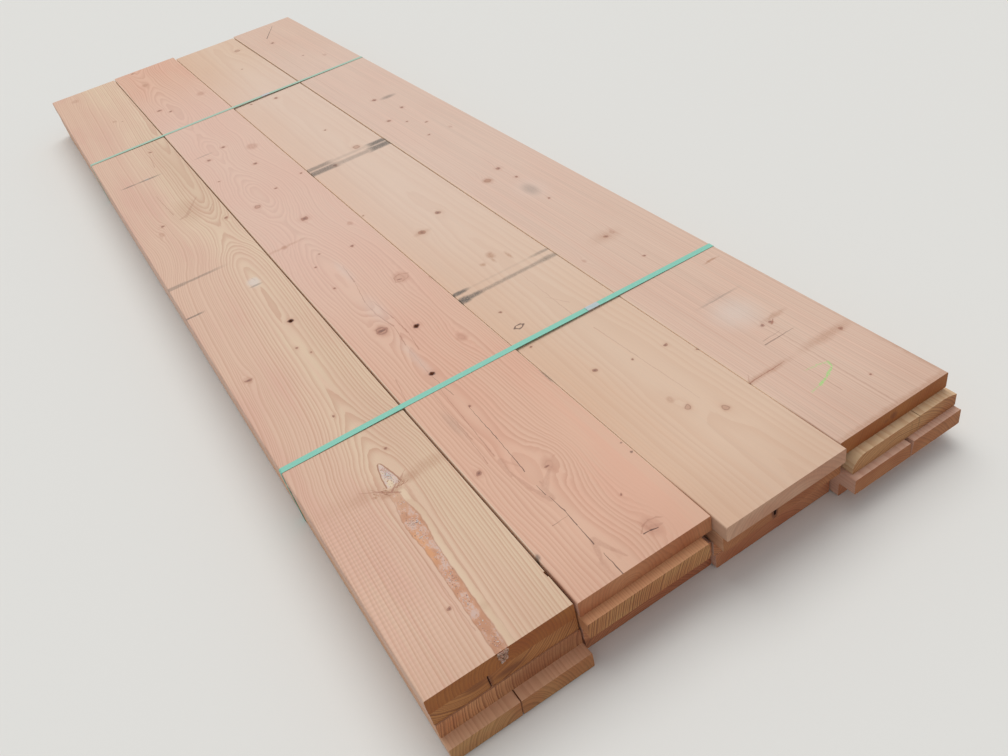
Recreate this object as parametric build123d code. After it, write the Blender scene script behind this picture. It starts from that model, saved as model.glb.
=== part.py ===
from build123d import *
import math
import os

# Stack of construction planks, four wide and four high, bound by two plastic straps.
# Millimetres. X runs across the stack, Y along the planks, away from their staggered near ends,
# Z is up. The origin is under the middle of the stack, on the level floor that it lies on.

# Planks: a nominal 2x12, 12 ft long, with its four long corners eased by the planer
plank_width = 285.75
plank_length = 3657.6
arris_radius = 3.2
narrow_plank_width = 263.0

# The mill trims roughly: three planks of the top layer are longer than the rest by this much
extra_length = {"b1": 14.0, "c1": 27.0, "d1": 24.0}
layer_count = 4

# Strap: flat plastic band that lies round the stack, with its end welded down on top
strap_width = 15.9
strap_thickness = 0.9
strap_clearance = 0.3
weld_length = 34.0

# Where each strap crosses the left edge of the stack, and how far it is turned from square
near_strap_y = 651.5
near_strap_turn = -0.70
near_weld_x = 776.0
far_strap_y = 2737.0
far_strap_turn = 1.2
far_weld_x = 700.0

# Gaps between neighbouring columns, at the near ends of the top planks
gap_a_b = 4.3
gap_b_c = 3.3
gap_c_d = 0.2

# Each column of planks was planed to a thickness of its own, so the strap spans the low ones
thickness = {"a": 38.1, "b": 38.6, "c": 37.4, "d": 37.7}

# Lists run from the top plank down to the floor.
# near_end: where the near end lies along Y. side_step: how far the left edge lies right of the
# column's line. drift: how far the far end has swung to the right.
near_end = {
    "a": [0.0, 3.0, 0.0, -27.0],
    "b": [-6.0, -26.0, -1.0, 8.0],
    "c": [-41.0, -31.0, -4.0, -5.0],
    "d": [-27.0, -48.0, -63.0, -24.0],
}
side_step = {
    "a": [0.0, 1.0, 1.5, 2.0],
    "b": [0.0, 0.0, 1.0, 5.5],
    "c": [0.0, 0.0, 0.5, 3.7],
    "d": [0.0, 6.0, 5.0, 7.0],
}
drift = {
    "a": [0.0, 0.5, -0.5, -1.0],
    "b": [-1.0, 0.0, 0.0, -2.0],
    "c": [1.0, 0.0, 1.0, 0.0],
    "d": [6.0, 3.0, 4.0, 2.0],
}

# Wane: the plank sawn just under the bark has lost both upper corners at its near end
left_wane_in = 32.0
left_wane_foot = 8.0
left_wane_radius = 34.0
left_wane_length = 1500.0
right_wane_in = 39.0
right_wane_down = 9.0
right_wane_radius = 120.0
right_wane_length = 560.0

# Splits that open at the near ends: how far across the plank, how wide the gap is, each at the
# underside and at the upper face, and how far it runs along the grain before it closes
end_splits = {
    "a2": ((110.0, 109.0), (3.2, 3.6), 190.0),
    "a4": ((137.0, 140.0), (2.0, 2.6), 620.0),
    "d2": ((181.0, 182.0), (1.2, 1.8), 900.0),
    "d3": ((151.0, 150.0), (1.2, 9.5), 760.0),
}

# Notch broken out of the upper edge of one end, and a short check that stops under the face
notch_across = (122.0, 123.0)
notch_width = (5.0, 11.0)
notch_depth = 29.0
notch_length = 70.0
short_check_across = (162.0, 162.0)
short_check_width = (1.2, 1.2)
short_check_cover = 5.0
short_check_length = 80.0

# Four-sided holes that a spike left in upper faces, as (across the plank, along it)
spike_hole_size = 10.0
spike_hole_depth = 14.0
spike_hole_taper = 8.0
spike_hole_turn = 45.0
spike_holes = {
    "a1": [(217.0, 1157.0)],
    "b1": [(100.5, 706.0), (157.6, 894.0)],
}

# Sliver knocked out of the upper right corner of the first plank
chip_along = 79.0
chip_length = 13.0
chip_width = 3.4
chip_depth = 9.0

# Cutting shapes reach this far past the surface that they cut
overcut = 2.0

column_left = {"a": 0.0}
column_left["b"] = column_left["a"] + plank_width + gap_a_b
column_left["c"] = column_left["b"] + plank_width + gap_b_c
column_left["d"] = column_left["c"] + plank_width + gap_c_d

seat = strap_thickness + strap_clearance


def plank_solid(width, height, length):
    """Square-cut plank with eased long corners, its near left lower corner at zero."""
    section = Plane.XZ * RectangleRounded(width, height, arris_radius, align=(Align.MIN, Align.MIN))
    return extrude(section, length, dir=(0, 1, 0))


def split(across, widths, low, high, length):
    """Wedge-shaped opening in the near end of a plank, closing to nothing along the grain."""
    triangles = []
    for x, width, z in zip(across, widths, (low, high)):
        corners = [(x - width / 2, -overcut), (x + width / 2, -overcut), (x, length)]
        triangles.append(Pos(0, 0, z) * make_face(Polyline(*corners, close=True)))
    return loft(triangles, ruled=True)


def wane_section(y, top_point, side_point, radius, corner):
    """Missing wood outside the round of the log, between two points on the plank's surface."""
    outline = [
        RadiusArc(top_point, side_point, radius),
        Polyline(side_point, (corner[0], side_point[1]), corner, (top_point[0], corner[1]), top_point),
    ]
    return Pos(0, y, 0) * (Plane.XZ * make_face(outline))


def left_wane(height):
    """Round of the log along the upper left corner, down the whole side at the near end."""
    corner = (-overcut, height + overcut)
    near = wane_section(
        -overcut, (left_wane_in, height), (left_wane_foot, -overcut), -left_wane_radius, corner
    )
    run_out = arris_radius / 6
    far = wane_section(
        left_wane_length, (run_out, height), (0, height - run_out), -left_wane_radius, corner
    )
    return loft([near, far], ruled=True)


def right_wane(width, height):
    """Shallow slope along the upper right corner."""
    corner = (width + overcut, height + overcut)
    top_point = (width - right_wane_in, height)
    side_point = (width, height - right_wane_down)
    near = wane_section(-overcut, top_point, side_point, right_wane_radius, corner)
    run_out = arris_radius / 6
    top_point = (width - run_out, height)
    side_point = (width, height - run_out)
    far = wane_section(right_wane_length, top_point, side_point, right_wane_radius, corner)
    return loft([near, far], ruled=True)


def spike_hole(x, y, height):
    """Blind hole that narrows downwards from the upper face."""
    mouth = Rot(0, 0, spike_hole_turn) * Rectangle(spike_hole_size, spike_hole_size)
    return Pos(x, y, height) * extrude(mouth, -spike_hole_depth, taper=spike_hole_taper)


def shaped_plank(name, width, height):
    """Plank with the splits, holes, broken corners and wane that it shows."""
    plank = plank_solid(width, height, plank_length + extra_length.get(name, 0.0))
    below = -overcut
    above = height + overcut
    if name in end_splits:
        across, widths, length = end_splits[name]
        plank -= split(across, widths, below, above, length)
    for x, y in spike_holes.get(name, []):
        plank -= spike_hole(x, y, height)
    if name == "a1":
        chip = Box(2 * chip_width, chip_length, 2 * chip_depth)
        plank -= Pos(width, chip_along, height) * chip
    if name == "c2":
        plank -= split(notch_across, notch_width, height - notch_depth, above, notch_length)
    if name == "d2":
        plank -= left_wane(height)
        plank -= right_wane(width, height)
        cover = height - short_check_cover
        plank -= split(short_check_across, short_check_width, below, cover, short_check_length)
    return plank


def plank_place(column, layer):
    """Left edge, near end and underside of one plank, and the angle that its drift turns it."""
    x = column_left[column] + side_step[column][layer]
    y = near_end[column][layer]
    z = seat + (layer_count - 1 - layer) * thickness[column]
    angle = math.degrees(math.atan2(drift[column][layer], plank_length))
    return x, y, z, angle


def plank_span(column, layer):
    """Width of one plank: a single one was ripped narrower than the rest."""
    return narrow_plank_width if (column, layer) == ("b", 1) else plank_width


def corner_centres(strap_y, turn):
    """Centres of the planks' eased corners in the strap's own plane, as (across, up)."""
    centres = []
    for column in column_left:
        for layer in range(layer_count):
            x, y, z, _ = plank_place(column, layer)
            for edge in (0, plank_span(column, layer)):
                station = strap_y + (x + edge) * math.tan(math.radians(turn))
                swung = x + edge + drift[column][layer] * (station - y) / plank_length
                inset = arris_radius if edge == 0 else -arris_radius
                across = swung / math.cos(math.radians(turn)) + inset
                centres.append((across, z + arris_radius))
                centres.append((across, z + thickness[column] - arris_radius))
    return centres


def sideways(start, point, end):
    """How far a point lies to the right of the line from start to end."""
    (x0, z0), (x1, z1), (x2, z2) = start, point, end
    return ((x1 - x0) * (z2 - z0) - (z1 - z0) * (x2 - x0)) / math.dist(start, end)


def taut_outline(points, slack=0.05):
    """Convex outline of the points, without the corners that stand proud by less than the slack."""
    def chain(ordered):
        kept = []
        for point in ordered:
            while len(kept) > 1 and sideways(kept[-2], kept[-1], point) <= 0:
                kept.pop()
            kept.append(point)
        return kept[:-1]

    ordered = sorted(set(points))
    corners = chain(ordered) + chain(ordered[::-1])
    outline = []
    for index, corner in enumerate(corners):
        before = outline[-1] if outline else corners[-1]
        after = corners[(index + 1) % len(corners)]
        if sideways(before, corner, after) > slack:
            outline.append(corner)
    return outline


def strap_solid(strap_y, turn, weld_x):
    """Band pulled taut round the stack, with its free end lying welded on the top run."""
    centres = make_face(Polyline(*taut_outline(corner_centres(strap_y, turn)), close=True))
    inside = offset(centres, arris_radius + strap_clearance, kind=Kind.ARC)
    outside = offset(centres, arris_radius + strap_clearance + strap_thickness, kind=Kind.ARC)
    doubled = offset(centres, arris_radius + strap_clearance + 2 * strap_thickness, kind=Kind.ARC)
    top = doubled.bounding_box().max.Y
    weld_zone = Pos(weld_x, top) * Rectangle(weld_length, top, align=(Align.MIN, Align.CENTER))
    band = (outside - inside) + ((doubled - outside) & weld_zone)
    solid = extrude(Plane.XZ * band, strap_width / 2, both=True)
    return Pos(0, strap_y, 0) * Rot(0, 0, turn) * solid


pieces = {}
for column in column_left:
    for layer in range(layer_count):
        name = f"{column}{layer + 1}"
        x, y, z, angle = plank_place(column, layer)
        body = shaped_plank(name, plank_span(column, layer), thickness[column])
        pieces[f"plank_{name}"] = Pos(x, y, z) * Rot(0, 0, -angle) * body

pieces["strap_near"] = strap_solid(near_strap_y, near_strap_turn, near_weld_x)
pieces["strap_far"] = strap_solid(far_strap_y, far_strap_turn, far_weld_x)

# The origin goes under the middle of the whole stack
whole = Compound(children=[Pos(0, 0, 0) * piece for piece in pieces.values()]).bounding_box()
to_origin = Pos(-(whole.min.X + whole.max.X) / 2, -(whole.min.Y + whole.max.Y) / 2, 0)

os.makedirs("parts", exist_ok=True)
for name, piece in pieces.items():
    export_step(to_origin * piece, f"parts/{name}.step")
    print(name, round(piece.volume / 1e6, 3), "litres")
print("left", round(whole.min.X, 2), "right", round(whole.max.X, 2))
print("near", round(whole.min.Y, 2), "far", round(whole.max.Y, 2), "top", round(whole.max.Z, 2))
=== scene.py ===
# %% [markdown]
# # A strapped stack of planks
# Sixteen freshly planed softwood planks lie four wide and four high, and two flat plastic straps
# hold them together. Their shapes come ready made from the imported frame, so this lesson is about
# finish: how sawn wood gets its rings, knots, flames and stains from node sums, and no pictures.

# %% Load the frame
import math
import random
from dataclasses import dataclass

import bmesh
import bpy
from mathutils import Matrix, Vector


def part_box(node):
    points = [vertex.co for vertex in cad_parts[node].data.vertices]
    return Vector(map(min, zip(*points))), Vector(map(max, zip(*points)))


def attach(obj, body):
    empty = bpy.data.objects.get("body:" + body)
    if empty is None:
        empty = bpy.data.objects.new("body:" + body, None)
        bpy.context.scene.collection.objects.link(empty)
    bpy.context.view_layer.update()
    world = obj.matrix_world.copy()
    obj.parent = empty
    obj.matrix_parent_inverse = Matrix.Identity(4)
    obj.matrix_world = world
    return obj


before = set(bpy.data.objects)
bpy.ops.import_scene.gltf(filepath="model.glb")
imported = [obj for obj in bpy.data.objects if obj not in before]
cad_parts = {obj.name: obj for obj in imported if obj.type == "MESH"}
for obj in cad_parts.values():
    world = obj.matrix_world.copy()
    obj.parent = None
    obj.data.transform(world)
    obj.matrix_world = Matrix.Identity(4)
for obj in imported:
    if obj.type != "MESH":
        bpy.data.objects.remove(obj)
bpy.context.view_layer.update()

print("pieces in the frame:", len(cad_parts))

# %% [markdown]
# ## One corner to measure from
# A carpenter hooks the tape on one corner and reads everything from there. Here it is the near
# left upper corner of the stack. Places are then given in millimetres: across to the right,
# along the planks, and up, so a point inside the wood has a negative height.

# %% The corner, places measured from it, and new objects
MILLIMETRE = 0.001
top_left_low, top_left_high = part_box("plank_a1")
hook = Vector((top_left_low.x, top_left_low.y, top_left_high.z))


def spot(across, along, up=0):
    """A point in metres, from millimetres measured off the stack's near left upper corner."""
    return hook + Vector((across, along, up)) * MILLIMETRE


def add_object(name, data):
    """A new object in the scene."""
    new_object = bpy.data.objects.new(name, data)
    bpy.context.scene.collection.objects.link(new_object)
    return new_object


print("the tape hooks on at", [round(value, 4) for value in hook])

# %% [markdown]
# ## Writing a material as a sum
# A material that follows the inside of a log needs many small steps. Placing each node by hand
# is hard to read, so a Field stands for one output of a node, and plus, minus, times and
# divide add the node that works it out, for numbers and for places alike.

# %% Fields
class Field:
    """A number or a vector that varies over a surface: one output in a node tree."""

    def __init__(self, tree, socket):
        self.tree = tree
        self.socket = socket

    def __add__(self, other):
        return combine("ADD", self, other)

    __radd__ = __add__

    def __sub__(self, other):
        return combine("SUBTRACT", self, other)

    def __rsub__(self, other):
        return combine("SUBTRACT", other, self)

    def __mul__(self, other):
        return combine("MULTIPLY", self, other)

    def __truediv__(self, other):
        return combine("DIVIDE", self, other)


def tree_of(terms):
    """The node tree that the fields among these terms belong to."""
    return next(term.tree for term in terms if isinstance(term, Field))


def put(term, socket):
    """Links a field to a socket, or sets the socket to a plain value."""
    if isinstance(term, Field):
        term.tree.links.new(term.socket, socket)
    else:
        socket.default_value = term


def fill(node, **terms):
    """Puts terms into the inputs of a node. A low line stands for the space in a name."""
    for name, term in terms.items():
        put(term, node.inputs[name.replace("_", " ")])


def add_node(kind, operation, terms, output=0):
    """One node of a kind that has an operation, with its terms put in."""
    tree = tree_of(terms)
    node = tree.nodes.new(kind)
    node.operation = operation
    for term, socket in zip(terms, node.inputs):
        put(term, socket)
    return Field(tree, node.outputs[output])


def combine(operation, *terms):
    """A Math node where all fields are numbers, and else a Vector Math node."""
    numbers = all(term.socket.type == "VALUE" for term in terms if isinstance(term, Field))
    return add_node("ShaderNodeMath" if numbers else "ShaderNodeVectorMath", operation, terms)


def step(operation, *terms):
    """One Math node."""
    return add_node("ShaderNodeMath", operation, terms)


def vector_step(operation, *terms):
    """One Vector Math node that gives a vector."""
    return add_node("ShaderNodeVectorMath", operation, terms)


def measure(operation, *terms):
    """One Vector Math node that gives a number: a length or a dot product."""
    return add_node("ShaderNodeVectorMath", operation, terms, output=1)


print("fields can add, subtract, multiply and divide")

# %% [markdown]
# ## A few steps used everywhere
# Splitting a place into its three numbers, easing a value from one end of a range to the other,
# cloudy noise of a given lump size, and mixing two colours: each takes a few nodes.

# %% Splitting, easing, clouds and mixing
def split(vector):
    """The three numbers of a vector."""
    node = vector.tree.nodes.new("ShaderNodeSeparateXYZ")
    put(vector, node.inputs[0])
    return [Field(vector.tree, socket) for socket in node.outputs]


def across_of(vector):
    """The first number of a vector. Splitting would leave two unused numbers in the way, and a
    renderer has little room for those in a long sum."""
    return measure("DOT_PRODUCT", vector, (1, 0, 0))


def along_of(vector):
    """The second number of a vector."""
    return measure("DOT_PRODUCT", vector, (0, 1, 0))


def join(*numbers):
    """A vector of three numbers."""
    tree = tree_of(numbers)
    node = tree.nodes.new("ShaderNodeCombineXYZ")
    for term, socket in zip(numbers, node.inputs):
        put(term, socket)
    return Field(tree, node.outputs[0])


def ease(value, start, end, low=0, high=1):
    """Goes smoothly from low to high while the value goes from start to end."""
    node = value.tree.nodes.new("ShaderNodeMapRange")
    node.interpolation_type = "SMOOTHSTEP"
    fill(node, Value=value, From_Min=start, From_Max=end, To_Min=low, To_Max=high)
    return Field(value.tree, node.outputs[0])


def hump(value, start, full, last, gone):
    """Rises from 0 to 1 between start and full, and falls again between last and gone."""
    return ease(value, start, full) * ease(value, gone, last)


def noise(term, detail, scale=1, socket="Vector"):
    """A noise node."""
    node = term.tree.nodes.new("ShaderNodeTexNoise")
    node.noise_dimensions = "3D" if socket == "Vector" else "1D"
    fill(node, Scale=scale, Detail=detail, **{socket: term})
    return node


def cloud(place, lump, detail=2, seed=0):
    """Noise from 0 to 1, with lumps of about that size in millimetres across, along and up."""
    shifted = place / lump + (seed, seed * 1.7, seed * 0.6)
    return Field(place.tree, noise(shifted, detail).outputs[0])


def mix(amount, first, second):
    """The first colour where the amount is 0 and the second where it is 1."""
    tree = tree_of((amount, first, second))
    node = tree.nodes.new("ShaderNodeMix")
    node.data_type = "RGBA"
    for term, index in ((amount, 0), (first, 6), (second, 7)):
        put(term, node.inputs[index])
    return Field(tree, node.outputs[2])


def shade(colour, factor):
    """A colour made lighter or darker by a factor."""
    scaled = vector_step("SCALE", colour)
    fill(scaled.socket.node, Scale=factor)
    return scaled


print("clouds, easing and mixing are ready")

# %% [markdown]
# ## A fresh material
# Every finish here starts and ends alike. It starts with a new material that knows where its
# points lie, in millimetres off the hook, and it ends with a little relief.

# %% Starting a material, and its relief
MILLIMETRES = (MILLIMETRE,) * 3


def new_material(name):
    """A material, its shader, and where a point lies on its object, in metres."""
    material = bpy.data.materials.new(name)
    material.use_nodes = True
    tree = material.node_tree
    coordinates = tree.nodes.new("ShaderNodeTexCoord")
    return material, tree.nodes["Principled BSDF"], Field(tree, coordinates.outputs["Object"])


def off_hook(metres):
    """The same place in millimetres off the hook."""
    return (metres - tuple(hook)) / MILLIMETRES


def emboss(shader, height, strength):
    """Relief from a height in millimetres."""
    bump = height.tree.nodes.new("ShaderNodeBump")
    fill(bump, Strength=strength, Distance=MILLIMETRE, Height=height)
    fill(shader, Normal=Field(height.tree, bump.outputs["Normal"]))


print("one step of a tape is", MILLIMETRE, "metres")

# %% [markdown]
# ## The camera
# Someone stood at the near left corner, held the camera at about chest height above the stack
# and a little tilted, and looked down along the planks. The camera copies that place, its turn
# and the width of its lens.

# %% Camera
eye = spot(-84.4, -811.6, 1226)
tilt, roll, heading = 50, 10.55, -31.77
lens_length = 31.886

camera = add_object("camera", bpy.data.cameras.new("camera"))
camera.data.lens = lens_length
camera.data.sensor_width = 36
camera.data.clip_start = 0.05
camera.data.clip_end = 200
camera.location = eye
camera.rotation_euler = [math.radians(angle) for angle in (tilt, roll, heading)]
bpy.context.scene.camera = camera
print("camera at", [round(value, 3) for value in eye])

# %% [markdown]
# ## Floor and light
# Wood shows its true colour in the shade of a bright, even sky. A wide soft sun from behind the
# stack gives the short shadows under the straps and keeps the sawn ends darker than the tops,
# and the sky fills in the rest. The two are balanced so that a level surface renders in about
# the colour that is written for it.

# %% Floor, sky and sun
scene = bpy.context.scene
scene.view_settings.view_transform = "Standard"


def srgb(red, green, blue):
    """Linear colour from the 0 to 255 values that a paint program shows."""
    def linear(value):
        value = value / 255
        return value / 12.92 if value <= 0.04045 else ((value + 0.055) / 1.055) ** 2.4

    return (linear(red), linear(green), linear(blue), 1)


half_floor = 30
floor_drop = 0.0005
floor_mesh = bpy.data.meshes.new("floor")
floor_corners = [
    (across * half_floor, along * half_floor, -floor_drop)
    for across, along in ((-1, -1), (1, -1), (1, 1), (-1, 1))
]
floor_mesh.from_pydata(floor_corners, [], [(0, 1, 2, 3)])
floor = add_object("floor", floor_mesh)

floor_paint, floor_shader, _ = new_material("pale_floor")
fill(floor_shader, Base_Color=srgb(226, 225, 221), Roughness=0.9, Specular_IOR_Level=0.2)
floor_mesh.materials.append(floor_paint)

sky_strength = 0.55
sun_strength = 1.6
world = bpy.data.worlds.new("sky")
world.use_nodes = True
scene.world = world
sky_nodes, sky_link = world.node_tree.nodes, world.node_tree.links.new
sky = sky_nodes["Background"]
fill(sky, Color=srgb(247, 249, 252), Strength=sky_strength)

# The eye, and anything glossy, sees a pale backdrop that lights nothing
backdrop = sky_nodes.new("ShaderNodeBackground")
fill(backdrop, Color=srgb(222, 222, 218))
light_path = sky_nodes.new("ShaderNodeLightPath")
seen = light_path.outputs["Is Camera Ray"]
for also in ("Is Glossy Ray", "Is Transmission Ray"):
    either = sky_nodes.new("ShaderNodeMath")
    either.operation = "MAXIMUM"
    sky_link(seen, either.inputs[0])
    sky_link(light_path.outputs[also], either.inputs[1])
    seen = either.outputs[0]
chooser = sky_nodes.new("ShaderNodeMixShader")
for source, socket in zip((seen, sky.outputs[0], backdrop.outputs[0]), chooser.inputs):
    sky_link(source, socket)
sky_link(chooser.outputs[0], sky_nodes["World Output"].inputs["Surface"])

sun = add_object("sun", bpy.data.lights.new("sun", "SUN"))
sun.data.energy = sun_strength
sun.data.angle = math.radians(50)
sun.data.color = (1, 0.985, 0.96)
sun_from = Vector((0.35, 0.75, 1.6))
sun.rotation_euler = sun_from.to_track_quat("Z", "Y").to_euler()
print("sky", sky_strength, "sun", sun_strength)

# %% [markdown]
# ## Groups
# A knot, a stain and a crack come back dozens of times, so each is one node group with its own
# inputs. Every copy takes what the copies before it have found and adds itself, like beads on a
# string, and the last one hands the total on.

# %% Making and using groups
def new_group(name, inputs, outputs):
    """An empty node group. Inputs and outputs are names, and vectors end in a star."""
    group = bpy.data.node_groups.new(name, "ShaderNodeTree")
    for labels, direction in ((inputs, "INPUT"), (outputs, "OUTPUT")):
        for label in labels.split():
            kind = "NodeSocketVector" if label.endswith("*") else "NodeSocketFloat"
            group.interface.new_socket(label.strip("*"), in_out=direction, socket_type=kind)
    entry = group.nodes.new("NodeGroupInput")
    gate = group.nodes.new("NodeGroupOutput")
    return group, [Field(group, socket) for socket in entry.outputs if socket.name], gate


def use_group(group, *values):
    """Puts a group into a tree and returns its outputs."""
    tree = tree_of(values)
    node = tree.nodes.new("ShaderNodeGroup")
    node.node_tree = group
    for value, socket in zip(values, node.inputs):
        put(value, socket)
    return [Field(tree, socket) for socket in node.outputs]


print("groups can be made, and strung together")

# %% [markdown]
# ## A knot
# A knot is the root of a branch. The years' rings bend round it like water round a stone, and
# swell towards it, so on the face of a plank they close into an eye. Each knot therefore does
# three things: it pushes the rings aside, it lifts them, and it colours its own round.

# %% The knot group
# How fast the bent rings straighten again, across and along, in radii squared
bend_fade = (-0.2, -0.05, 0)
knot_group, knot_inputs, knot_gate = new_group(
    "knot",
    "place* centre* reach* push lift strength rise nearest tone",
    "place* rise nearest tone",
)


def fill_knot_group(place, centre, reach, push, lift, strength, rise, nearest, tone):
    """Adds one knot to the knots before it, and starts from the place as they pushed it."""
    offset = (place - centre) / reach
    squares = offset * offset
    away = step("SQRT", measure("DOT_PRODUCT", squares, (1, 1, 1)))
    fade = step("EXPONENT", measure("DOT_PRODUCT", squares, bend_fade))
    sideways = across_of(offset)
    core = ease(away, 1.3, 0.6)
    results = (
        place - join(push * sideways * fade, 0, 0),
        rise + lift * fade,
        step("MINIMUM", nearest, away / step("SQRT", step("MINIMUM", strength, 1) + 0.01)),
        step("MAXIMUM", tone, core * strength),
    )
    for result, socket in zip(results, knot_gate.inputs):
        put(result, socket)


fill_knot_group(*knot_inputs)
print("nodes in one knot:", len(knot_group.nodes))

# %% [markdown]
# ## Stains and scratches
# A stain is a soft patch, round or square. A crack, a pencil tick or a crayon stroke is a line
# from one place to another that thins out towards its end. Both only look at where a point lies
# seen from above, unless the patch is told to end at a depth.

# %% The patch group and the line group
patch_group, patch_inputs, patch_gate = new_group(
    "patch", "place* centre* half* softness square strength amount", "amount"
)
line_group, line_inputs, line_gate = new_group(
    "line", "place* start* end* width strength amount", "amount"
)


def fill_patch_group(place, centre, half, softness, square, strength, amount):
    """A patch that is full inside its half sizes and fades out over its softness."""
    offset = vector_step("ABSOLUTE", (place - centre) / half)
    across, along, up = split(offset)
    corner = step("MAXIMUM", step("MAXIMUM", across, along), up)
    away = measure("LENGTH", offset) * (1 - square) + corner * square
    inside = ease(away, softness + 1, 1 - softness)
    put(step("MAXIMUM", amount, inside * strength), patch_gate.inputs[0])


def fill_line_group(place, start, end, width, strength, amount):
    """A line that is widest at its start and thins out to a third at its end."""
    flat = (1, 1, 0)
    thinning = 0.66
    reach = (place - start) * flat
    run = end - start
    share = measure("DOT_PRODUCT", reach, run) / measure("DOT_PRODUCT", run, run)
    share = step("MINIMUM", step("MAXIMUM", share, 0), 1)
    away = measure("LENGTH", reach - run * join(share, share, share))
    full = width * (1 - share * thinning)
    put(step("MAXIMUM", amount, ease(away / full, 1, 0.4) * strength), line_gate.inputs[0])


fill_patch_group(*patch_inputs)
fill_line_group(*line_inputs)
print("nodes in a patch and a line:", len(patch_group.nodes), len(line_group.nodes))

# %% [markdown]
# ## Describing one plank
# What makes a plank look the way it does is where in the log it was cut. So each is described by
# where the heart of its tree runs, how wide the years' rings are and how much they wander. Its
# knots and marks follow, with the colours of its face and of its sawn end.

# %% The description
@dataclass
class Wood:
    """One plank. Sizes are in millimetres, places are across and along (and up), off the hook."""
    heart: tuple                # across and up, at the near end
    spacing: float              # the width of a ring
    face: tuple                 # pale, pink and summer wood
    end: tuple                  # the same three on the sawn end
    lean: float = 0             # how far the heart moves across in a metre
    sway: float = 14            # slow wander of the rings
    wave: float = 5             # quicker wander, and the size of its lumps
    wave_lump: tuple = (60, 260, 60)
    contrast: float = 0.55      # share of summer wood that shows
    end_contrast: float = 0.8
    middle_greying: float = 0.35       # how grey the middle of the face has gone
    blush: tuple = (0, 1, 0.5)  # pink to the left of this range, and its share
    flames: tuple = ()          # (along, rings)
    knots: tuple = ()           # (kind, across, along, width)
    stains: tuple = ()          # patches: grey, brown and pale
    # Brown patches: stains, and on two planks painted shade along the seam under the plank above
    brown_stains_and_painted_shade: tuple = ()
    bleached: tuple = ()
    plain: tuple = ()           # patches where the rings hardly show
    end_marks: tuple = ()       # dark patches on the sawn end
    cracks: tuple = ()          # lines: dark, brown and green
    strokes: tuple = ()
    crayon: tuple = ()
    pitch: bool = False         # whether it has the resin streak
    ripple: float = 0           # depth of tone of the planer's marks
    streaky: float = 0.06       # how much the tone varies along the fibres
    seed: int = 0


print("a plank has", len(Wood.__dataclass_fields__), "kinds of facts")

# %% [markdown]
# ## The rings of a plank
# Take any point in the wood, measure how far it is from the heart, and divide by the width of a
# ring: that counts the years. The fraction tells the season. Pale spring wood darkens slowly
# into a narrow brown band of summer wood and jumps back. Because the sum is done in space, the
# face shows flames, the edge shows lines and the end shows arcs, and all of them meet.

# %% Counting years
flame_span = 3700
flame_range = 30
fine_ripple = 0.8


def flame_curve(along, points):
    """A curve drawn through (millimetres along, rings) that closes rings into flames."""
    node = along.tree.nodes.new("ShaderNodeFloatCurve")
    curve = node.mapping.curves[0]
    for index, (where, rings) in enumerate(points):
        spot_on_curve = (where / flame_span, 0.5 + rings / flame_range)
        if index < 2:
            curve.points[index].location = spot_on_curve
        else:
            curve.points.new(*spot_on_curve)
    node.mapping.update()
    fill(node, Value=along / flame_span)
    return (Field(along.tree, node.outputs[0]) - 0.5) * flame_range


def count_years(place, wood, push, rise):
    """Counts the rings from the heart to a point, and returns how dark its season is."""
    across, along, up = split(place)
    sway = (cloud(place, (260, 900, 260), 1, wood.seed) - 0.5) * (2 * wood.sway)
    wave = (cloud(place, wood.wave_lump, 1.5, wood.seed + 3) - 0.5) * (2 * wood.wave)
    ripple = (cloud(place, (9, 60, 9), 1, wood.seed + 5) - 0.5) * (2 * fine_ripple)
    off_across = across - wood.heart[0] - along * (wood.lean / 1000) + sway + push
    off_up = up - wood.heart[1]
    radius = step("SQRT", off_across * off_across + off_up * off_up)
    years = (radius + wave + ripple + rise) / wood.spacing
    if wood.flames:
        years = years + flame_curve(along, wood.flames)

    # Good and bad years come in runs, and each has a summer of its own strength
    runs = noise(years + wood.seed * 7, 0, scale=0.4, socket="W")
    years = years + (Field(years.tree, runs.outputs[0]) - 0.5) * 1.3
    season = step("FRACT", years)
    yearly = years.tree.nodes.new("ShaderNodeTexWhiteNoise")
    yearly.noise_dimensions = "1D"
    fill(yearly, W=step("FLOOR", years))
    summer = hump(season, 0.2, 0.92, 0.93, 1)
    return summer * (Field(years.tree, yearly.outputs["Value"]) * 0.5 + 0.5)


print("flame curves reach", flame_span, "mm along and", flame_range / 2, "rings either way")

# %% [markdown]
# ## Stringing knots, patches and lines
# The lists of a plank become chains of groups. A line starts with four numbers for its two ends,
# and a patch with its middle and its half size. Two numbers each make a patch that reaches
# through the wood, and three make one that ends at a depth.

# %% Chains
knot_kinds = {
    # length to width, push as a share of its half width, lift in mm, strength of its colour
    "knot": (1.15, 0.85, 5, 1),
    "eye": (1.3, 0.8, 11, 0.55),
    "swirl": (1.5, 0.6, 8, 0.22),
    "curl": (1, 0.55, 6, 0),
    "dip": (0.55, 0, -26, 0),
    "pin": (1.1, 0.6, 1.5, 1.1),
    "hole": (1, 0.5, 1.5, 2.2),
}
through_wood = 90


def string_knots(place, knots):
    """The place as the knots push it, the lift on the rings, the nearest knot and its tone."""
    none = across_of(place) * 0
    totals = [place, none, none + 99, none]
    for kind, across, along, width in knots:
        length, push, lift, strength = knot_kinds[kind]
        half = width / 2
        reach = (half, half * length, through_wood)
        facts = ((across, along, 0), reach, push * half, lift, strength)
        totals = use_group(knot_group, totals[0], *facts, *totals[1:])
    return totals


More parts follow.
